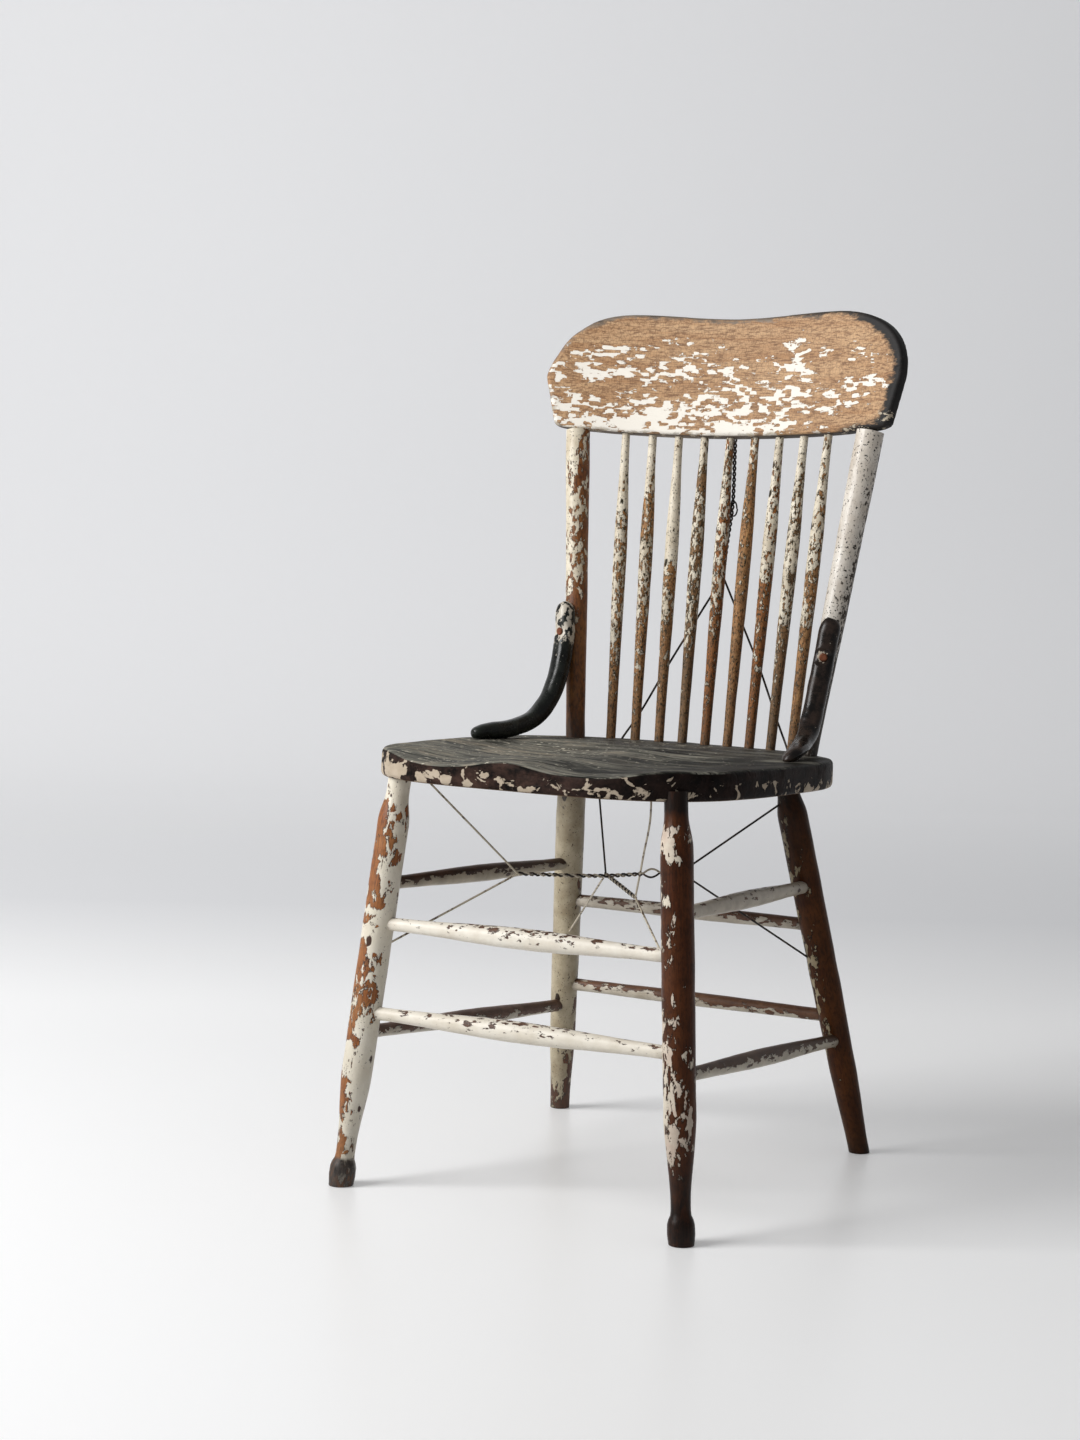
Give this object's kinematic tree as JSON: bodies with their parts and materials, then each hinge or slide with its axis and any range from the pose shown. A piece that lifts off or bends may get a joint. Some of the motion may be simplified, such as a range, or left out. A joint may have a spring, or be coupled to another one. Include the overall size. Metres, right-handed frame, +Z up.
{
  "type": "spindle-back side chair",
  "caption": "Old turned spindle-back side chair with saddle seat, bent braces, wire ties and peeling, chipped paint.",
  "frame": {"origin": "on the floor, under the middle of the chair's bounding box", "axes": "+Z up from the floor to the crest rail, +Y from the seat's front edge to the back, -Y the way the sitter faces, +X to the right seen from the front"},
  "size_m": [0.44, 0.5163, 0.9448],
  "materials": {
    "seat_wood": "worn near-black paint over brown wood, chipped ivory on the edge",
    "crest_wood": "bare oak with flakes of white paint, dark upper edge",
    "ivory_paint": "ivory paint over wood, chipped",
    "spindle_wood": "half-bare tan wood with cream paint",
    "brown_wood": "red-brown varnished wood with flakes of ivory paint",
    "dark_paint": "glossy near-black green paint over bent wood",
    "rusty_screw": "rusty screw",
    "rusty_wire": "dull tie wire, rusty and partly painted"
  },
  "bodies": {
    "root": {"seat": "seat_wood", "crest_rail": "crest_wood", "post_left": "ivory_paint", "post_right": "ivory_paint", "spindle_1": "spindle_wood", "spindle_2": "spindle_wood", "spindle_3": "spindle_wood", "spindle_4": "spindle_wood", "spindle_5": "spindle_wood", "spindle_6": "spindle_wood", "spindle_7": "spindle_wood", "spindle_8": "spindle_wood", "spindle_9": "spindle_wood", "leg_front_left": "ivory_paint", "leg_front_right": "brown_wood", "leg_back_left": "ivory_paint", "leg_back_right": "brown_wood", "stretcher_front_upper": "ivory_paint", "stretcher_front_lower": "ivory_paint", "stretcher_back_upper": "ivory_paint", "stretcher_back_lower": "ivory_paint", "stretcher_left_upper": "ivory_paint", "stretcher_left_lower": "ivory_paint", "stretcher_right_upper": "ivory_paint", "stretcher_right_lower": "ivory_paint", "brace_left": "dark_paint", "brace_right": "dark_paint", "brace_screw_left": "rusty_screw", "brace_screw_right": "rusty_screw", "wire_truss_left": "rusty_wire", "wire_truss_right": "rusty_wire", "wire_back_stay": "rusty_wire"}
  },
  "joints": []
}
